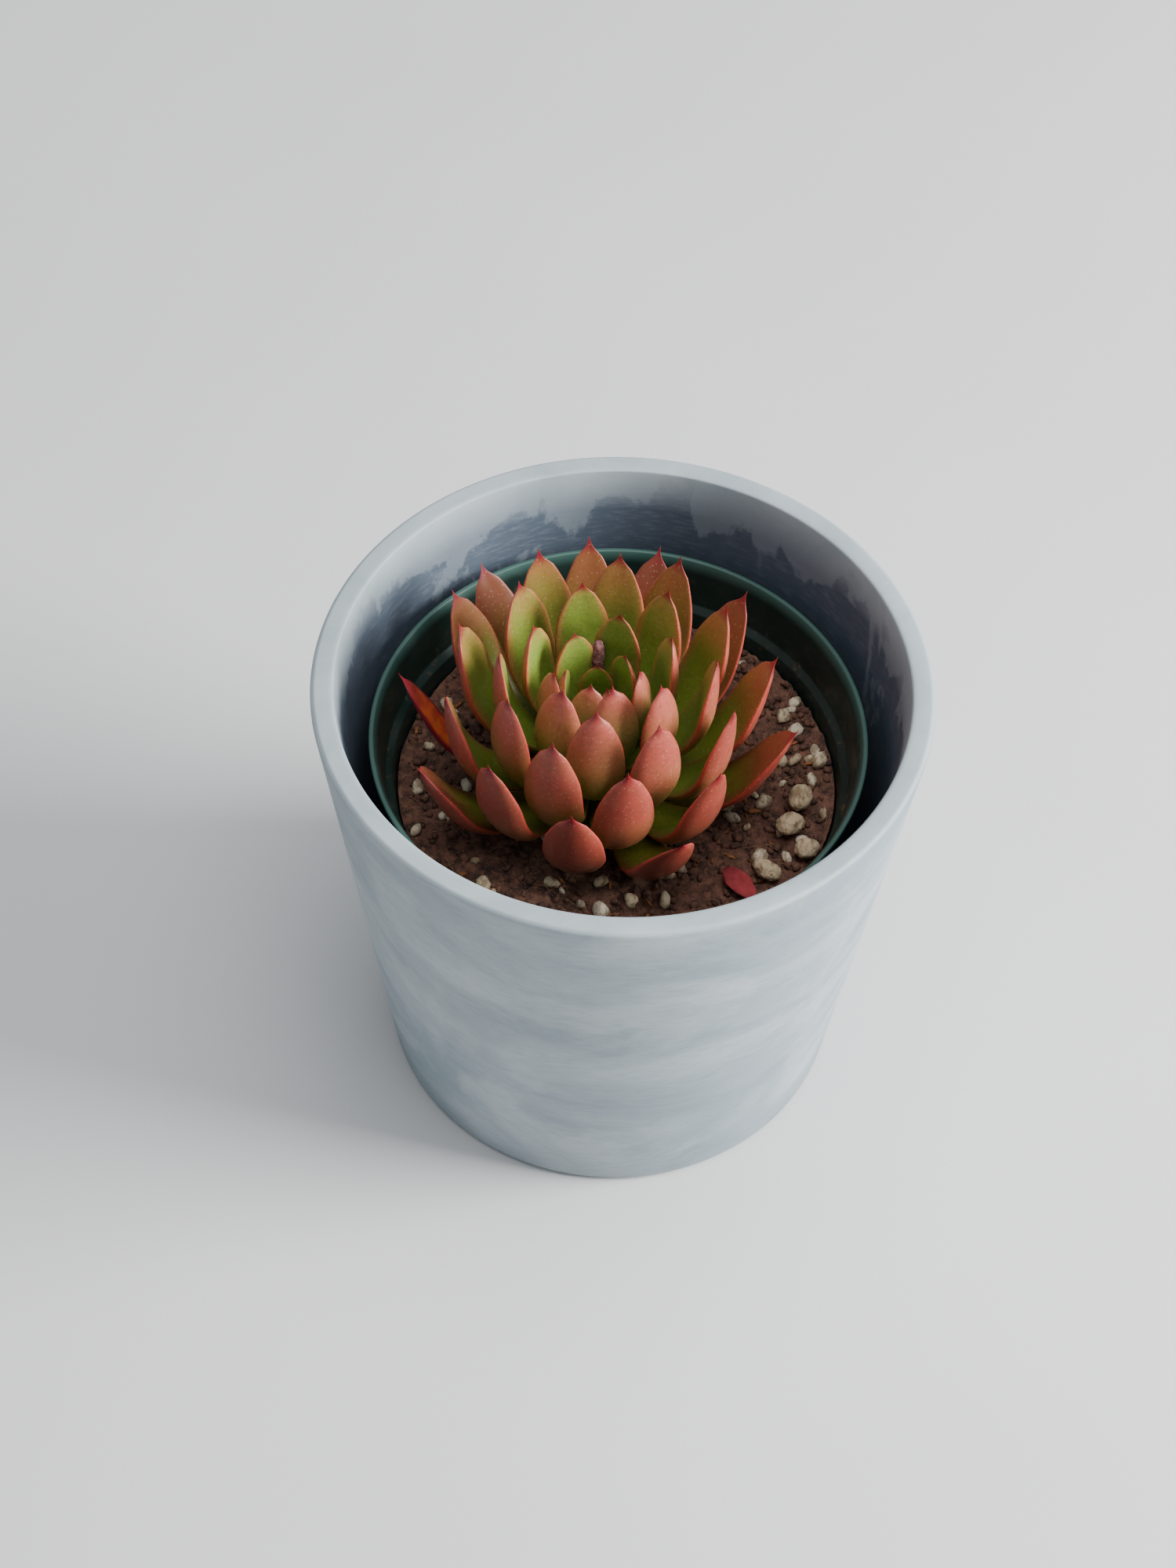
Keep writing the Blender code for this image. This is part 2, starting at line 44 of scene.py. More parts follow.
NURSERY_CENTRE = Vector((-0.6 * MM, 0.0, 0.0))
AXIS_RADIUS = 0.001 * MM        # turned profiles stop this far short of the axis, a hole too small to see
LEAF_COUNT = 48
DRIED_LEAF = 8
rng = np.random.default_rng(7)


# ---------------------------------------------------------------- node helpers

class Nodes:
    """Short calls for building one material's node tree."""

    def __init__(self, name):
        self.material = bpy.data.materials.new(name)
        self.material.use_nodes = True
        self.tree = self.material.node_tree
        self.shader = self.tree.nodes["Principled BSDF"]

    def add(self, kind, **settings):
        """A new node; settings are its properties."""
        node = self.tree.nodes.new("ShaderNode" + kind)
        for key, value in settings.items():
            setattr(node, key, value)
        return node

    def link(self, source, socket):
        """Join an output to a socket, or put a plain value on it."""
        if isinstance(source, bpy.types.NodeSocket):
            self.tree.links.new(source, socket)
        elif hasattr(source, "__len__") and len(source) == 3 and socket.type == "RGBA":
            socket.default_value = (*source, 1.0)
        else:
            socket.default_value = source

    def attribute(self, name):
        """A value stored on the mesh's points."""
        return self.add("Attribute", attribute_name=name).outputs["Fac"]

    def place(self, scale=(1, 1, 1), offset=None):
        """Object coordinates, stretched and shifted."""
        where = self.add("TexCoord").outputs["Object"]
        mapping = self.add("Mapping")
        self.link(where, mapping.inputs["Vector"])
        self.link(scale, mapping.inputs["Scale"])
        if offset is not None:
            self.link(offset, mapping.inputs["Location"])
        return mapping.outputs["Vector"]

    def noise(self, scale, detail=3.0, roughness=0.5, vector=None, distortion=0.0):
        """Noise from 0 to 1."""
        node = self.add("TexNoise")
        self.link(vector if vector is not None else self.place(), node.inputs["Vector"])
        values = {"Scale": scale, "Detail": detail, "Roughness": roughness, "Distortion": distortion}
        for key, value in values.items():
            self.link(value, node.inputs[key])
        return node.outputs["Fac"]

    def cells(self, scale):
        """Distance to the nearest of a field of scattered points."""
        node = self.add("TexVoronoi")
        self.link(self.place(), node.inputs["Vector"])
        self.link(scale, node.inputs["Scale"])
        return node.outputs["Distance"]

    def math(self, operation, a, b=0.0):
        """One sum."""
        node = self.add("Math", operation=operation)
        self.link(a, node.inputs[0])
        self.link(b, node.inputs[1])
        return node.outputs[0]

    def swing(self, value, amount):
        """How far a value from 0 to 1 lies from its middle, times an amount."""
        return self.math("MULTIPLY", self.math("SUBTRACT", value, 0.5), amount)

    def ramp(self, value, low, high, to_low=0.0, to_high=1.0):
        """A value moved smoothly from one range to another and held inside it."""
        node = self.add("MapRange", clamp=True, interpolation_type="SMOOTHSTEP")
        values = {"Value": value, "From Min": low, "From Max": high, "To Min": to_low, "To Max": to_high}
        for key, number in values.items():
            self.link(number, node.inputs[key])
        return node.outputs["Result"]

    def mix(self, share, a, b):
        """Two colours mixed by a share."""
        node = self.add("Mix", data_type="RGBA")
        self.link(share, node.inputs["Factor"])
        self.link(a, node.inputs["A"])
        self.link(b, node.inputs["B"])
        return node.outputs["Result"]

    def bump(self, height, distance, strength=1.0, under=None):
        """A bump that follows a height, over another one."""
        node = self.add("Bump")
        self.link(height, node.inputs["Height"])
        self.link(distance, node.inputs["Distance"])
        self.link(strength, node.inputs["Strength"])
        if under is not None:
            self.link(under, node.inputs["Normal"])
        return node.outputs["Normal"]

    def finish(self, colour, roughness, normal=None, **sockets):
        """Join the results to the shader and return the material."""
        self.link(colour, self.shader.inputs["Base Color"])
        self.link(roughness, self.shader.inputs["Roughness"])
        if normal is not None:
            self.link(normal, self.shader.inputs["Normal"])
        for key, value in sockets.items():
            self.link(value, self.shader.inputs[key.replace("_", " ")])
        return self.material


# ---------------------------------------------------------------- mesh helpers

def new_object(name, points, faces, look, attributes):
    """A mesh piece that rides on the part's one body."""
    mesh = bpy.data.meshes.new(name)
    mesh.from_pydata([tuple(p) for p in points], [], faces)
    for key, values in attributes.items():
        layer = mesh.attributes.new(key, "FLOAT", "POINT")
        layer.data.foreach_set("value", np.asarray(values, dtype=np.float32))
    mesh.materials.append(look)
    mesh.shade_smooth()
    made = bpy.data.objects.new(name, mesh)
    bpy.context.scene.collection.objects.link(made)
    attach(made, "root")
    return made


def tube_faces(rings, around, first_pole, last_pole):
    """Faces of a closed tube of rings, with a fan to a pole at each end."""
    faces = []
    for ring in range(rings - 1):
        for k in range(around):
            a = ring * around + k
            b = ring * around + (k + 1) % around
            faces.append((a, b, b + around, a + around))
    last = (rings - 1) * around
    for k in range(around):
        faces.append((first_pole, (k + 1) % around, k))
        faces.append((last_pole, last + k, last + (k + 1) % around))
    return faces


def cubic(rows, knots, at, periodic=False):
    """Smooth cubic curve through rows at rising knots, read at other places."""
    rows = np.asarray(rows, dtype=float)
    at = np.asarray(at, dtype=float)
    if periodic:
        span = knots[-1] - knots[0] + (knots[1] - knots[0])
        knots = np.concatenate([knots[-2:] - span, knots, knots[:2] + span])
        rows = np.concatenate([rows[-2:], rows, rows[:2]])
    slopes = np.gradient(rows, knots, axis=0)
    i = np.clip(np.searchsorted(knots, at, side="right") - 1, 0, len(knots) - 2)
    width = (knots[i + 1] - knots[i])[:, None]
    t = ((at - knots[i]) / width[:, 0])[:, None]
    h00 = 2 * t**3 - 3 * t**2 + 1
    h10 = t**3 - 2 * t**2 + t
    h11 = t**3 - t**2
    first = h00 * rows[i] + h10 * width * slopes[i]
    return first + (1 - h00) * rows[i + 1] + h11 * width * slopes[i + 1]


# ---------------------------------------------------------------- leaves

LEAF_SIDES = 8          # points round each ring of a CAD leaf
LEAF_RINGS = 8          # rings between its base and its tip
FINE_RINGS = 40
FINE_SIDES = 28
WIDTH_RING = 5          # the ring, counted from the base, whose spread gives the leaf's sideways direction
JOIN_WITHIN = 0.02 * MM
FATTEN = 1.16           # the CAD leaf is slimmer, to stay clear of its neighbours
MARGIN_SHIFT = 0.0225   # share of a turn that points shift toward the margins, where the section is sharp
PINCH_START = 0.90      # share of the length at which the point begins to narrow
PINCH_END = 0.985
PINCH = 0.74            # share of the section's size that the point loses


def merged(mesh):
    """The mesh's points with doubles joined, and each point's neighbours."""
    shape = bmesh.new()
    shape.from_mesh(mesh)
    bmesh.ops.remove_doubles(shape, verts=shape.verts, dist=JOIN_WITHIN)
    shape.verts.ensure_lookup_table()
    points = np.array([v.co for v in shape.verts])
    links = [[e.other_vert(v).index for e in v.link_edges] for v in shape.verts]
    shape.free()
    return points, links


def layers_from(start, links):
    """Points grouped by how many edges they lie from a start."""
    seen = {start}
    layers = [[start]]
    while True:
        step = {j for i in layers[-1] for j in links[i]} - seen
        if not step:
            return layers
        layers.append(sorted(step))
        seen |= step


def leaf_rings(name):
    """A CAD leaf as its base, its ordered rings and its tip."""
    points, links = merged(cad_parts[name].data)
    wanted = [1] + [LEAF_SIDES] * LEAF_RINGS + [1]
    poles = [i for i in range(len(points)) if [len(x) for x in layers_from(i, links)] == wanted]
    base = min(poles, key=lambda i: points[i][2])
    layers = layers_from(base, links)
    centres = np.array([points[layer].mean(axis=0) for layer in layers])
    widest = points[layers[WIDTH_RING]] - centres[WIDTH_RING]
    side = np.linalg.svd(widest)[2][0]
    along = centres[2] - centres[0]
    rise = np.cross(along, side)
    if rise[2] < 0.0:
        side = -side
    rings = []
    for j in range(1, LEAF_RINGS + 1):
        forward = centres[j + 1] - centres[j - 1]
        forward /= np.linalg.norm(forward)
        up = np.cross(forward, side)
        ring = points[layers[j]]
        across = (ring - centres[j]) @ side
        high = (ring - centres[j]) @ up
        angle = np.arctan2(high / max(np.ptp(high), 1e-6), across / max(np.ptp(across), 1e-6))
        order = np.argsort(angle)
        first = int(np.argmin(np.abs(angle[order])))
        rings.append(ring[np.roll(order, -first)])
    return points[base], rings, points[layers[-1][0]]


def leaf_grid(name):
    """A fine leaf through the CAD leaf's rings: points, station along, and place round the section."""
    base, rings, tip = leaf_rings(name)
    turns = np.linspace(0.0, pi, LEAF_RINGS + 2)
    tracks = [np.repeat(base[None], LEAF_SIDES, axis=0), *rings, np.repeat(tip[None], LEAF_SIDES, axis=0)]
    flat = np.array(tracks).reshape(len(turns), -1)
    middle = np.array([t.mean(axis=0) for t in tracks])
    fine_turns = np.linspace(0.0, pi, FINE_RINGS + 2)[1:-1]
    dense = cubic(flat, turns, fine_turns).reshape(FINE_RINGS, LEAF_SIDES, 3)
    spine = cubic(middle, turns, fine_turns)
    station = 0.5 * (1.0 - np.cos(fine_turns))
    knots = np.arange(LEAF_SIDES) / LEAF_SIDES
    around = np.arange(FINE_SIDES) / FINE_SIDES
    around = around - MARGIN_SHIFT * np.sin(4 * pi * around)
    points = []
    for ring, centre, s in zip(dense, spine, station):
        fine = cubic(ring, knots, around, periodic=True)
        pinch = 1.0 - smooth_step(s, PINCH_START, PINCH_END) * PINCH
        points.append(centre + (fine - centre) * FATTEN * pinch)
    return np.array(points), station, around, base, tip


def smooth_step(value, low, high):
    """0 below low, 1 above high, and smooth between."""
    t = np.clip((np.asarray(value, dtype=float) - low) / (high - low), 0.0, 1.0)
    return t * t * (3.0 - 2.0 * t)


def leaf_object(number, look):
    """One fine leaf in place of its CAD node, with what its material needs stored on its points."""
    name = f"leaf_{number:02d}"
    points, station, around, base, tip = leaf_grid(name)
    rings, sides = points.shape[:2]
    across = np.cos(2 * pi * around)
    upper = 0.5 + 0.5 * np.clip(np.sin(2 * pi * around) * 3.0, -1.0, 1.0)
    all_points = np.concatenate([points.reshape(-1, 3), base[None], tip[None]])
    faces = tube_faces(rings, sides, len(all_points) - 2, len(all_points) - 1)
    attributes = {
        "along": np.concatenate([np.repeat(station, sides), [0.0, 1.0]]),
        "across": np.concatenate([np.tile(across, rings), [0.0, 0.0]]),
        "upper": np.concatenate([np.tile(upper, rings), [0.5, 0.5]]),
        "age": np.full(len(all_points), leaf_age(number)),
    }
    leaf = new_object(f"fine_{name}", all_points, faces, look, attributes)
    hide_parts(name)


def leaf_age(number):
    """Age of a leaf by its place in the rising order: 1 for the lowest, 0 for the topmost fifth."""
    share = (number - 1) / (LEAF_COUNT - 1)
    return float(np.clip(1.0 - 1.25 * share, 0.0, 1.0))


def leaf_material():
    """Waxy leaf: green face, coral back, red margin and a crimson tip."""
    n = Nodes("waxy_leaf")
    along = n.attribute("along")
    across = n.attribute("across")
    upper = n.attribute("upper")
    age = n.attribute("age")
    edge = n.math("ABSOLUTE", across)
    cloud = n.noise(90.0, 3.0, 0.55)
    soft = n.noise(260.0, 2.0, 0.5)

    green = n.mix(age, (0.185, 0.290, 0.040), (0.130, 0.130, 0.010))
    tan = n.mix(age, (0.480, 0.235, 0.070), (0.170, 0.038, 0.020))
    reach = n.math("ADD", n.math("MULTIPLY", age, 0.40), n.swing(cloud, 0.40))
    warm = n.ramp(n.math("ADD", along, reach), 0.78, 1.20)
    rim_warm = n.ramp(n.math("ADD", edge, n.math("MULTIPLY", reach, 0.5)), 0.62, 1.05)
    warm = n.math("MAXIMUM", warm, n.math("MULTIPLY", rim_warm, n.ramp(along, 0.25, 0.6, 0.15, 0.85)))
    face = n.mix(warm, green, tan)

    back_low = n.mix(age, (0.185, 0.225, 0.045), (0.170, 0.115, 0.022))
    coral = n.mix(age, (0.500, 0.105, 0.078), (0.290, 0.045, 0.030))
    rise = n.math("ADD", along, n.swing(cloud, 0.25))
    rise = n.math("ADD", rise, n.math("MULTIPLY", age, 0.34))
    back = n.mix(n.ramp(rise, 0.46, 1.00), back_low, coral)
    wide_cloud = n.noise(55.0, 3.0, 0.5, n.place((1, 1, 1), (0.2, 0.1, 0.4)))
    flush = n.math("MULTIPLY", n.ramp(wide_cloud, 0.45, 0.7), 0.35)
    back = n.mix(flush, back, n.mix(age, (0.300, 0.190, 0.070), (0.380, 0.120, 0.060)))

    body = n.mix(upper, back, face)
    margin = n.ramp(edge, 0.955, 0.995)
    margin = n.math("MULTIPLY", margin, n.ramp(along, 0.2, 0.7, 0.25, 0.9))
    body = n.mix(margin, body, (0.520, 0.060, 0.050))
    tip = n.ramp(n.math("ADD", along, n.swing(soft, 0.04)), 0.90, 0.965)
    body = n.mix(tip, body, (0.210, 0.008, 0.018))
    mucro = n.ramp(along, 0.988, 0.998)
    body = n.mix(mucro, body, (0.160, 0.020, 0.025))

    specks = n.ramp(n.cells(900.0), 0.10, 0.22, 1.0, 0.0)
    body = n.mix(n.math("MULTIPLY", specks, 0.30), body, (0.700, 0.480, 0.340))
    grime = n.ramp(n.noise(1100.0, 3.0, 0.6), 0.42, 0.72)
    body = n.mix(n.math("MULTIPLY", grime, 0.30), body, (0.090, 0.060, 0.020))
    spots = n.ramp(n.cells(150.0), 0.02, 0.07, 1.0, 0.0)
    spots = n.math("MULTIPLY", spots, n.ramp(n.noise(45.0, 1.0), 0.52, 0.62))
    spots = n.math("MULTIPLY", spots, n.ramp(age, 0.1, 0.7))
    body = n.mix(spots, body, (0.120, 0.030, 0.015))

    roughness = n.ramp(n.noise(500.0, 3.0), 0.2, 0.8, 0.36, 0.50)
    skin = n.bump(n.noise(1500.0, 3.0, 0.6), 0.00003, 0.5)
    skin = n.bump(n.noise(160.0, 2.0), 0.0003, 0.25, skin)
    n.shader.inputs["Subsurface Radius"].default_value = (1.0, 0.45, 0.2)
    return n.finish(
        body, roughness, skin, Subsurface_Weight=0.10, Subsurface_Scale=0.0018,
        Specular_IOR_Level=0.5, Coat_Weight=0.12, Coat_Roughness=0.28,
    )


def dried_material():
    """The leaf that has dried on the plant: papery orange with dark crimson edges."""
    n = Nodes("dried_leaf")
    edge = n.math("ABSOLUTE", n.attribute("across"))
    blotch = n.noise(260.0, 4.0, 0.6)
    colour = n.mix(n.ramp(blotch, 0.35, 0.65), (0.560, 0.110, 0.025), (0.400, 0.045, 0.025))
    border = n.ramp(n.math("ADD", edge, n.math("MULTIPLY", blotch, 0.2)), 0.78, 1.02)
    end = n.ramp(n.attribute("along"), 0.72, 0.95)
    colour = n.mix(n.math("MAXIMUM", border, end), colour, (0.190, 0.010, 0.022))
    veins = n.bump(n.noise(500.0, 4.0, 0.6, n.place((1.0, 1.0, 0.3))), 0.0003, 0.6)
    return n.finish(colour, 0.42, veins, Subsurface_Weight=0.2, Subsurface_Scale=0.001)


def build_leaves():
    """Every leaf of the rosette."""
    waxy = leaf_material()
    dried = dried_material()
    for number in range(1, LEAF_COUNT + 1):
        leaf_object(number, dried if number == DRIED_LEAF else waxy)


# ---------------------------------------------------------------- pots

ROUND = 192             # points round a turned pot
CORNER_STEPS = 4        # points along each rounded corner


def turned(name, profile, look, centre, replaces, attributes):
    """A closed profile of (radius, height) turned round Z, with one attribute value for each of its points."""
    profile = np.array(profile)
    count = len(profile)
    angle = np.arange(ROUND) * 2 * pi / ROUND
    points = np.stack([
        centre[0] + profile[:, 0][None] * np.cos(angle)[:, None],
        centre[1] + profile[:, 0][None] * np.sin(angle)[:, None],
        np.repeat(profile[:, 1][None], ROUND, axis=0),
    ], axis=2).reshape(-1, 3)
    faces = []
    for i in range(ROUND):
        j = (i + 1) % ROUND
        for k in range(count):
            m = (k + 1) % count
            faces.append((i * count + k, i * count + m, j * count + m, j * count + k))
    spread = {key: np.tile(values, ROUND) for key, values in attributes.items()}
    made = new_object(name, points, faces, look, spread)
    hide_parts(replaces)


def rounded(profile, radius):
    """A closed profile with every corner rounded."""
    result = []
    count = len(profile)
    for i in range(count):
        before, here, after = (Vector(profile[(i + k) % count]) for k in (-1, 0, 1))
        into = before - here
        out = after - here
        cut = min(radius, 0.45 * into.length, 0.45 * out.length)
        start = here + into.normalized() * cut
        end = here + out.normalized() * cut
        for t in np.linspace(0.0, 1.0, CORNER_STEPS):
            result.append(tuple((1 - t) ** 2 * start + 2 * t * (1 - t) * here + t * t * end))
    return result


PLANTER_HEIGHT = 132 * MM
PLANTER_TOP = 75 * MM
PLANTER_FOOT = 58.5 * MM
PLANTER_WALL = 5.7 * MM


def planter_radius(height):
    """Radius of the planter's outside at a height."""
    return PLANTER_FOOT + (PLANTER_TOP - PLANTER_FOOT) * height / PLANTER_HEIGHT


def planter_material():
    """Cloudy grey-blue recycled plastic, brushed level outside and blotched inside; the inside is painted
    darker than the outside as painted shade and lighter near its top as painted light, and the rim's top is
    painted lighter as painted light.
    """
    n = Nodes("planter_wall")
    inside = n.attribute("inside")
    level = n.attribute("level")
    brushed = n.noise(11.0, 6.0, 0.55, n.place((1.0, 1.0, 3.2)), 0.7)
    clouds = n.noise(22.0, 6.0, 0.62, n.place((1.0, 1.0, 1.3), (0.4, 0.0, 0.2)), 0.9)
    fine = n.noise(240.0, 4.0, 0.6, n.place((1.0, 1.0, 5.0)))
    outer = n.mix(n.ramp(brushed, 0.36, 0.66), (0.225, 0.285, 0.325), (0.345, 0.405, 0.440))
    outer = n.mix(n.math("MULTIPLY", n.ramp(clouds, 0.44, 0.68), 0.60), outer, (0.450, 0.500, 0.520))
    outer = n.mix(n.math("MULTIPLY", n.ramp(fine, 0.46, 0.72), 0.28), outer, (0.200, 0.255, 0.295))
    foot = n.math("MULTIPLY", n.ramp(level, 0.16, 0.0), 0.45)
    outer = n.mix(foot, outer, (0.170, 0.215, 0.250))
    drips = n.noise(42.0, 6.0, 0.60, n.place((1.0, 1.0, 0.50)), 0.5)
    patch = n.noise(85.0, 5.0, 0.60, n.place((1.0, 1.0, 0.8), (0.31, 0.12, 0.0)), 0.3)
    mottle_and_top_light = n.math("ADD", n.math("MULTIPLY", drips, 0.70), n.math("MULTIPLY", patch, 0.30))
    # painted light: the inside wall turns lighter near its top, just below the rim, and stays darker lower
    # down as painted shade
    mottle_and_top_light = n.math("ADD", mottle_and_top_light, n.ramp(level, 0.84, 0.99, -0.035, 0.10))
    # painted shade: both inside tones are darker than the outside of the same plastic; the blotches between
    # them are the plastic's own
    inner = n.mix(n.ramp(mottle_and_top_light, 0.505, 0.545), (0.085, 0.112, 0.152), (0.175, 0.215, 0.255))
    inner = n.mix(n.math("MULTIPLY", n.ramp(fine, 0.45, 0.7), 0.3), inner, (0.210, 0.250, 0.290))
    colour = n.mix(inside, outer, inner)
    # painted light: the rim's upward face is given a lighter tone than the walls below it, as if lit from
    # above
    rim_lit_tone = n.mix(n.ramp(clouds, 0.3, 0.7), (0.310, 0.380, 0.410), (0.430, 0.490, 0.520))
    colour = n.mix(n.math("MULTIPLY", n.attribute("rim"), 0.85), colour, rim_lit_tone)
    roughness = n.ramp(fine, 0.2, 0.8, 0.48, 0.66)
    grain = n.bump(n.noise(900.0, 4.0, 0.6), 0.00006, 0.35)
    grain = n.bump(brushed, 0.0006, 0.15, grain)
    return n.finish(colour, roughness, grain, Specular_IOR_Level=0.4)


def build_planter():
    """The tapered outer pot, with a rounded rim and a shallow recess underneath."""
    wall = PLANTER_WALL
    floor = 7 * MM
    top = PLANTER_HEIGHT
    inner_top = PLANTER_TOP - wall
    heights = [0.9, 0.75, 0.55, 0.35, 0.15]
    outside = [(planter_radius(h * top), h * top) for h in heights]
    inside = [(planter_radius(h * top) - wall, h * top) for h in reversed(heights)]
    profile = [
        (AXIS_RADIUS, 1.2 * MM), (AXIS_RADIUS, floor), (planter_radius(floor) - wall, floor), *inside,
        (inner_top, top - 0.2 * MM), (inner_top + 0.9 * MM, top), (PLANTER_TOP - 0.9 * MM, top),
        (PLANTER_TOP - 0.1 * MM, top - 1.1 * MM), *outside, (planter_radius(1.6 * MM), 1.6 * MM),
        (PLANTER_FOOT - 1.5 * MM, 0.0), (PLANTER_FOOT - 8 * MM, 0.0), (PLANTER_FOOT - 9 * MM, 1.2 * MM),
    ]
    fine = rounded(profile, 0.8 * MM)
    profile_radius = np.array([r for r, _ in fine])
    height = np.array([z for _, z in fine])
    middle = np.array([planter_radius(z) for z in height]) - 0.5 * wall
    is_inside = (profile_radius < middle) & (height > 2 * MM)
    is_rim = height > top - 0.9 * MM
    attributes = {"inside": is_inside.astype(float), "level": height / top, "rim": is_rim.astype(float)}
    turned("fine_planter", fine, planter_material(), (0.0, 0.0), "planter", attributes)


def nursery_material():
    """Thin dark green plastic, with the top of its lip painted lighter as painted light, and dirt on the
    ledge.
    """
    n = Nodes("nursery_plastic")
    lip = n.attribute("lip")
    ledge = n.attribute("ledge")
    shade = n.noise(30.0, 3.0, 0.5, n.place((1.0, 1.0, 0.4)))
    colour = n.mix(n.ramp(shade, 0.3, 0.7), (0.004, 0.016, 0.013), (0.008, 0.027, 0.022))
    # painted light: the lip's upward face is made much lighter than the rest of the same plastic
    colour = n.mix(n.math("MULTIPLY", lip, 0.7), colour, (0.045, 0.120, 0.100))
    dust = n.ramp(n.noise(420.0, 4.0, 0.65), 0.55, 0.70)
    low = n.ramp(n.attribute("level"), 1.0, 0.0)
    dirty = n.math("ADD", n.math("MULTIPLY", ledge, 0.7), n.math("MULTIPLY", low, 0.25))
    colour = n.mix(n.math("MULTIPLY", dust, dirty), colour, (0.090, 0.060, 0.035))
    film = n.ramp(n.noise(70.0, 4.0, 0.6), 0.4, 0.75)
    colour = n.mix(n.math("MULTIPLY", film, 0.10), colour, (0.090, 0.120, 0.110))
    roughness = n.ramp(n.noise(200.0, 3.0), 0.3, 0.7, 0.34, 0.5)
    grain = n.bump(n.noise(700.0, 3.0), 0.00005, 0.3)
    return n.finish(colour, roughness, grain)


def build_nursery_pot():
    """The thin inner pot, with a ledge, a wider band and a lip."""
    foot = 7.3 * MM
    wall = 0.9 * MM
    top = 112.4 * MM
    band = 99 * MM
    rim = 60.9 * MM
    body = 56.2 * MM
    profile = [
        (AXIS_RADIUS, foot + wall), (43 * MM, foot + wall), (44.1 * MM, foot + 2.5 * MM),
        (body - wall, band - 1.3 * MM), (body + 1.0 * MM, band + 0.3 * MM), (rim - 2.3 * MM, top - 3.0 * MM),
        (rim - 1.1 * MM, top - 0.1 * MM), (rim, top - 0.1 * MM), (rim, top - 1.6 * MM),
        (rim - 1.4 * MM, top - 2.6 * MM), (body + 1.9 * MM, band - 0.7 * MM),
        (body, band - 1.9 * MM), (45 * MM, foot + 1.5 * MM),
        (43.5 * MM, foot), (AXIS_RADIUS, foot),
    ]
    fine = rounded(profile, 0.35 * MM)
    height = np.array([z for _, z in fine])
    attributes = {
        "lip": (height > top - 0.9 * MM).astype(float),
        "ledge": np.exp(-(((height - band) / (1.2 * MM)) ** 2)),
        "level": np.clip((height - band) / (top - band), 0.0, 1.0),
    }
    look = nursery_material()
    turned("fine_nursery_pot", fine, look, NURSERY_CENTRE.xy, "nursery_pot", attributes)


# ---------------------------------------------------------------- potting mix and what lies on it

SOIL_TOP = 93 * MM
SOIL_RADIUS = 54.2 * MM


def soil_height(x, y):
    """Height of low mounds, close to those of the CAD solid's top."""
    waves = 0.55 * sin(90 * x + 1.3) * cos(75 * y) + 0.35 * sin(210 * y - 140 * x)
    return SOIL_TOP + waves * MM


def soil_material():
    """Dark brown fibrous peat, in clumps."""
    n = Nodes("peat")
    tone = n.attribute("tone")
    clump = n.noise(340.0, 6.0, 0.72)
    colour = n.mix(n.ramp(clump, 0.3, 0.7), (0.014, 0.006, 0.005), (0.200, 0.088, 0.056))
    threads = n.ramp(n.noise(900.0, 4.0, 0.7), 0.55, 0.75)
    colour = n.mix(n.math("MULTIPLY", threads, 0.7), colour, (0.300, 0.160, 0.095))
    colour = n.mix(n.math("MULTIPLY", tone, 0.5), colour, (0.120, 0.060, 0.035))
    height = n.bump(n.noise(1100.0, 5.0, 0.7), 0.0004, 0.8)
    return n.finish(colour, 0.9, height)


def pumice_material():
    """Cream pumice with pits and brown stains."""
    n = Nodes("pumice_grain")
    tone = n.attribute("tone")
    stain = n.noise(420.0, 5.0, 0.65)
    colour = n.mix(tone, (0.520, 0.410, 0.260), (0.640, 0.570, 0.440))
    colour = n.mix(n.ramp(stain, 0.54, 0.95), colour, (0.250, 0.150, 0.070))
    streaks = n.noise(700.0, 4.0, 0.6, n.place((1.0, 0.35, 1.0)))
    colour = n.mix(n.math("MULTIPLY", n.ramp(streaks, 0.44, 0.62), 0.75), colour, (0.170, 0.105, 0.050))
    pits = n.ramp(n.cells(1500.0), 0.10, 0.35)
    colour = n.mix(n.math("MULTIPLY", n.math("SUBTRACT", 1.0, pits), 0.35), colour, (0.160, 0.110, 0.060))
    rough = n.bump(pits, 0.0001, 0.5)
    rough = n.bump(n.noise(900.0, 5.0, 0.7), 0.0002, 0.6, rough)
    return n.finish(colour, 0.88, rough)


def build_soil_surface(look):
    """A fine, lumpy top for the potting mix."""
    rings, sides = 90, 260
    points = []
    tone = []
    for i in range(rings + 1):
        radius = SOIL_RADIUS * (i / rings)
        for k in range(sides if i else 1):
            angle = 2 * pi * k / sides
            x = radius * cos(angle)
            y = radius * sin(angle)
            spot = Vector((x, y, 0.0)) / MM
            clump = noise.turbulence(spot * 0.22, 4, False) - 0.5
            crumb = noise.turbulence(spot * 0.85 + Vector((9, 4, 2)), 3, True)
            z = soil_height(x, y) + (0.1 + 1.3 * clump + 1.8 * crumb) * MM
            points.append((x + NURSERY_CENTRE.x, y, z))
            tone.append(max(0.0, min(1.0, 0.5 + clump)))
    faces = [(0, 1 + k, 1 + (k + 1) % sides) for k in range(sides)]
    for i in range(rings - 1):
        for k in range(sides):
            a = 1 + i * sides + k
            b = 1 + i * sides + (k + 1) % sides
            faces.append((a, a + sides, b + sides, b))
    new_object("soil_surface", points, faces, look, {"tone": tone})


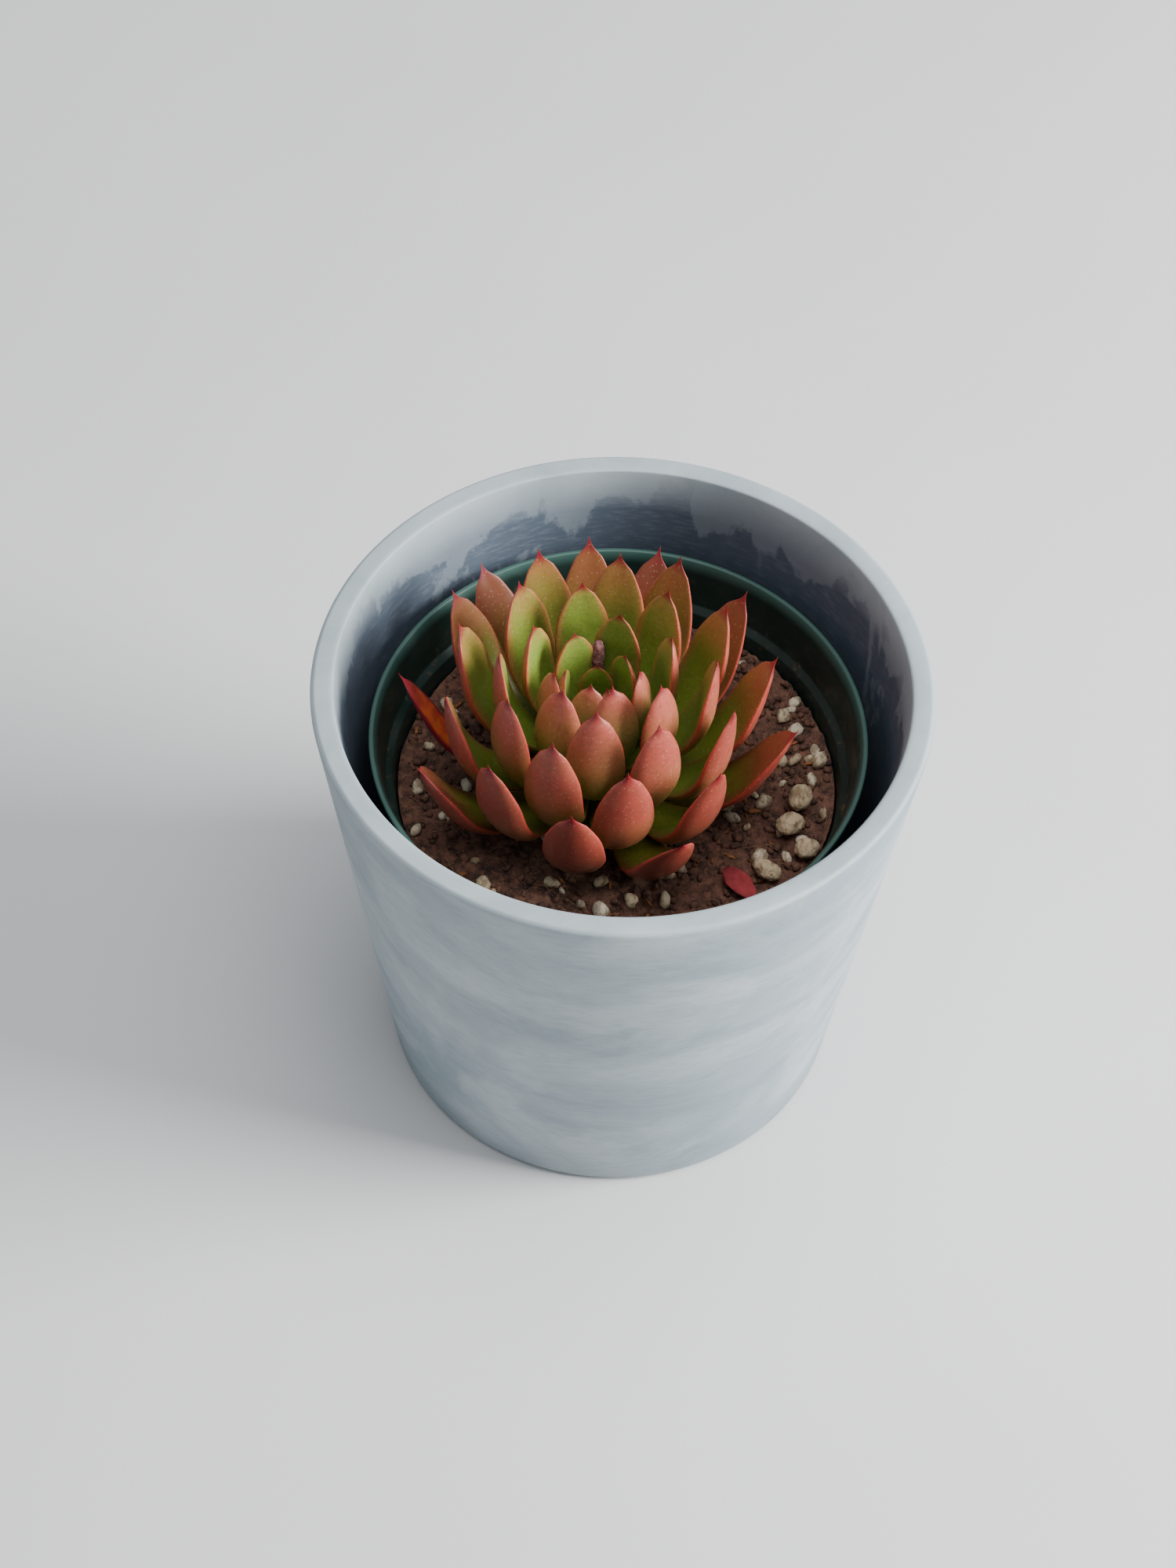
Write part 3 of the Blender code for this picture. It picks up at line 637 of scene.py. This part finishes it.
def lump(centre, size, turn, seed, detail=2, sharp=0.35):
    """Points and faces of one rough grain."""
    shape = bmesh.new()
    bmesh.ops.create_icosphere(shape, subdivisions=detail, radius=1.0)
    spin = Matrix.Rotation(turn[0], 3, "Z") @ Matrix.Rotation(turn[1], 3, "X")
    shift = Vector((seed * 3.1, seed * 1.7, seed * 0.9))
    points = []
    for v in shape.verts:
        swell = 1.0 + sharp * noise.noise(v.co * 1.4 + shift) + 0.12 * noise.noise(v.co * 4.0 + shift)
        points.append(spin @ Vector([v.co[i] * size[i] * swell for i in range(3)]) + Vector(centre))
    faces = [tuple(v.index for v in f.verts) for f in shape.faces]
    shape.free()
    return points, faces


def scatter(name, grains, look):
    """Many lumps as one piece."""
    points = []
    faces = []
    tone = []
    for number, (centre, size, detail) in enumerate(grains):
        turn = rng.uniform(0.0, 2 * pi, 2)
        some, sides = lump(centre, size, turn, number + 0.5, detail)
        faces += [tuple(i + len(points) for i in face) for face in sides]
        points += some
        tone += [rng.random()] * len(some)
    new_object(name, points, faces, look, {"tone": tone})


def random_spot(low, high):
    """A place on the mix between two distances from the pot's middle."""
    radius = np.sqrt(rng.uniform(low**2, high**2))
    angle = rng.uniform(0.0, 2 * pi)
    return radius * cos(angle) + NURSERY_CENTRE.x, radius * sin(angle)


def strewn(count, reach, lengths, widths, heights, detail):
    """Grains at random places. Reach and lengths are in mm; widths and heights are shares of the length."""
    grains = []
    for _ in range(count):
        x, y = random_spot(reach[0] * MM, reach[1] * MM)
        r = rng.uniform(*lengths) * MM
        size = (r, r * rng.uniform(*widths), r * rng.uniform(*heights))
        grains.append(((x, y, soil_height(x, y) + 0.5 * r), size, detail))
    return grains


def build_grains(pumice, peat, bark):
    """Crumbs of peat, small pumice and bark chips strewn over the mix."""
    crumbs = strewn(1500, (8, 53.5), (0.3, 1.5), (0.6, 1.0), (0.5, 0.9), 1)
    scatter("peat_crumbs", crumbs, peat)
    stones = strewn(110, (22, 52.0), (0.7, 2.6), (0.6, 0.9), (0.5, 0.8), 2)
    scatter("small_pumice", stones, pumice)
    chips = []
    for _ in range(60):
        x, y = random_spot(15 * MM, 52.5 * MM)
        r = rng.uniform(0.8, 2.6) * MM
        size = (r, r * rng.uniform(0.25, 0.5), 0.4 * MM)
        chips.append(((x, y, soil_height(x, y) + 0.6 * MM), size, 1))
    scatter("bark_chips", chips, bark)


FIBRE_STEPS = 7                 # straight lengths that make one fibre
FIBRE_REACH = 53 * MM           # a point farther than this from the inner pot's middle is pulled back in


def build_fibres(look):
    """Fine roots and fibres: thin curved tubes."""
    line = bpy.data.curves.new("fibres", "CURVE")
    line.dimensions = "3D"
    line.bevel_depth = 0.09 * MM
    line.bevel_resolution = 1
    for _ in range(150):
        x, y = random_spot(12 * MM, 52.5 * MM)
        heading = rng.uniform(0.0, 2 * pi)
        length = rng.uniform(2.5, 8.0) * MM
        spline = line.splines.new("POLY")
        spline.points.add(FIBRE_STEPS)
        lift = rng.uniform(0.2, 2.4) * MM
        bend = rng.uniform(-1.6, 1.6)
        for k, point in enumerate(spline.points):
            t = k / FIBRE_STEPS
            x += cos(heading) * length / FIBRE_STEPS
            y += sin(heading) * length / FIBRE_STEPS
            heading += bend / FIBRE_STEPS
            away = (Vector((x, y)) - NURSERY_CENTRE.xy).length
            if away > FIBRE_REACH:
                x, y = Vector((x, y)) * (FIBRE_REACH / away)
            point.co = (x, y, soil_height(x, y) + 0.8 * MM + lift * sin(pi * t), 1.0)
            point.radius = 1.0 - 0.6 * t
    line.materials.append(look)
    made = bpy.data.objects.new("fibres", line)
    bpy.context.scene.collection.objects.link(made)
    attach(made, "root")


def plain_brown(name, dark, light, scale):
    """A rough two-tone brown."""
    n = Nodes(name)
    colour = n.mix(n.ramp(n.noise(scale, 4.0, 0.65), 0.3, 0.7), dark, light)
    return n.finish(colour, 0.85, n.bump(n.noise(scale * 2.5, 4.0, 0.6), 0.0002, 0.6))


SMOOTH_LEVELS = 3


def repaint(name, look):
    """Give a CAD node one material in place of its own, and return the node."""
    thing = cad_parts[name]
    thing.data.materials.clear()
    thing.data.materials.append(look)
    return thing


def dress_node(name, look, texture_size, depth, still_value=0.6):
    """A CAD node that keeps its shape, smoothed and roughened. A still value below 0 swells it all over."""
    thing = repaint(name, look)
    weld = thing.modifiers.new("weld", "WELD")
    weld.merge_threshold = 0.01 * MM
    smooth = thing.modifiers.new("smooth", "SUBSURF")
    smooth.levels = SMOOTH_LEVELS
    smooth.render_levels = SMOOTH_LEVELS
    lumps = bpy.data.textures.new(name + "_lumps", "CLOUDS")
    lumps.noise_scale = texture_size
    rough = thing.modifiers.new("rough", "DISPLACE")
    rough.texture = lumps
    rough.texture_coords = "GLOBAL"
    rough.strength = depth
    rough.mid_level = still_value


def build_ground_layer():
    """The mix, the grains on it and the loose stones."""
    peat = soil_material()
    pumice = pumice_material()
    bark = plain_brown("bark", (0.100, 0.035, 0.012), (0.330, 0.130, 0.040), 500.0)
    fibre = plain_brown("root_fibre", (0.120, 0.065, 0.030), (0.300, 0.180, 0.090), 300.0)
    build_soil_surface(peat)
    build_grains(pumice, peat, bark)
    build_fibres(fibre)
    repaint("potting_mix", peat)
    for name in ("large", "round", "pale", "front"):
        dress_node("pumice_stone_" + name, pumice, 3.0 * MM, 1.1 * MM)
    repaint("stem", bark)


def build_stalks_and_dry_leaf():
    """The two withered stalk stubs and the fallen leaf."""
    stalk = plain_brown("dry_stalk", (0.090, 0.022, 0.028), (0.330, 0.150, 0.140), 900.0)
    for name in ("back", "front"):
        dress_node("flower_stalk_stub_" + name, stalk, 0.9 * MM, 0.6 * MM, -0.6)
    withered = plain_brown("withered_leaf", (0.110, 0.006, 0.010), (0.340, 0.035, 0.040), 160.0)
    dress_node("fallen_leaf", withered, 6.0 * MM, 2.2 * MM)


# ---------------------------------------------------------------- camera, light and floor

CAMERA_PITCH = radians(51.81)   # below the horizon
CAMERA_ROLL = radians(1.80)
CAMERA_AT = (-0.00765, -0.5044, 0.733)
LENS = 75.3                     # mm, on a sensor 36 mm high
LIT_POINT = (0.0, 0.0, 0.1)     # what both lights are aimed at


def build_camera():
    """The viewing angle: from in front, steeply down, with a slight roll."""
    pitch = CAMERA_PITCH
    roll = CAMERA_ROLL
    forward = Vector((0.0, cos(pitch), -sin(pitch)))
    level = Vector((1.0, 0.0, 0.0))
    upright = Vector((0.0, sin(pitch), cos(pitch)))
    right = cos(roll) * level + sin(roll) * upright
    up = -sin(roll) * level + cos(roll) * upright
    data = bpy.data.cameras.new("camera")
    data.lens = LENS
    data.sensor_width = 36.0
    data.sensor_fit = "AUTO"
    data.clip_start = 0.01
    camera = bpy.data.objects.new("camera", data)
    turn = Matrix((right, up, -forward)).transposed()
    camera.matrix_world = Matrix.Translation(CAMERA_AT) @ turn.to_4x4()
    bpy.context.scene.collection.objects.link(camera)
    bpy.context.scene.camera = camera


def area_light(name, place, target, size, energy, colour=(1.0, 1.0, 1.0)):
    """A square soft light aimed at a point."""
    data = bpy.data.lights.new(name, "AREA")
    data.size = size
    data.energy = energy
    data.color = colour
    light = bpy.data.objects.new(name, data)
    light.location = place
    aim = Vector(target) - Vector(place)
    light.rotation_euler = aim.to_track_quat("-Z", "Y").to_euler()
    bpy.context.scene.collection.objects.link(light)


def build_stage():
    """A plain pale floor."""
    n = Nodes("pale_floor")
    colour = n.mix(n.ramp(n.noise(6.0, 3.0), 0.3, 0.7), (0.680, 0.683, 0.690), (0.705, 0.708, 0.715))
    look = n.finish(colour, 0.7)
    bpy.ops.mesh.primitive_plane_add(size=6.0, location=(0.0, 0.0, 0.0))
    floor = bpy.context.object
    floor.name = "floor"
    floor.data.materials.append(look)


def build_lights():
    """Soft daylight all round, a strong soft light from the right and a weak one above."""
    world = bpy.data.worlds.new("studio")
    world.use_nodes = True
    background = world.node_tree.nodes["Background"]
    background.inputs["Color"].default_value = (0.90, 0.95, 1.0, 1.0)
    background.inputs["Strength"].default_value = 0.44
    bpy.context.scene.world = world
    area_light("key_right", (1.2, -0.12, 0.66), LIT_POINT, size=0.65, energy=52.0, colour=(1.0, 0.985, 0.96))
    area_light("soft_top", (0.1, -0.05, 1.3), LIT_POINT, size=0.8, energy=9.0)


build_camera()
build_lights()
build_stage()
build_planter()
build_nursery_pot()
build_ground_layer()
build_stalks_and_dry_leaf()
build_leaves()
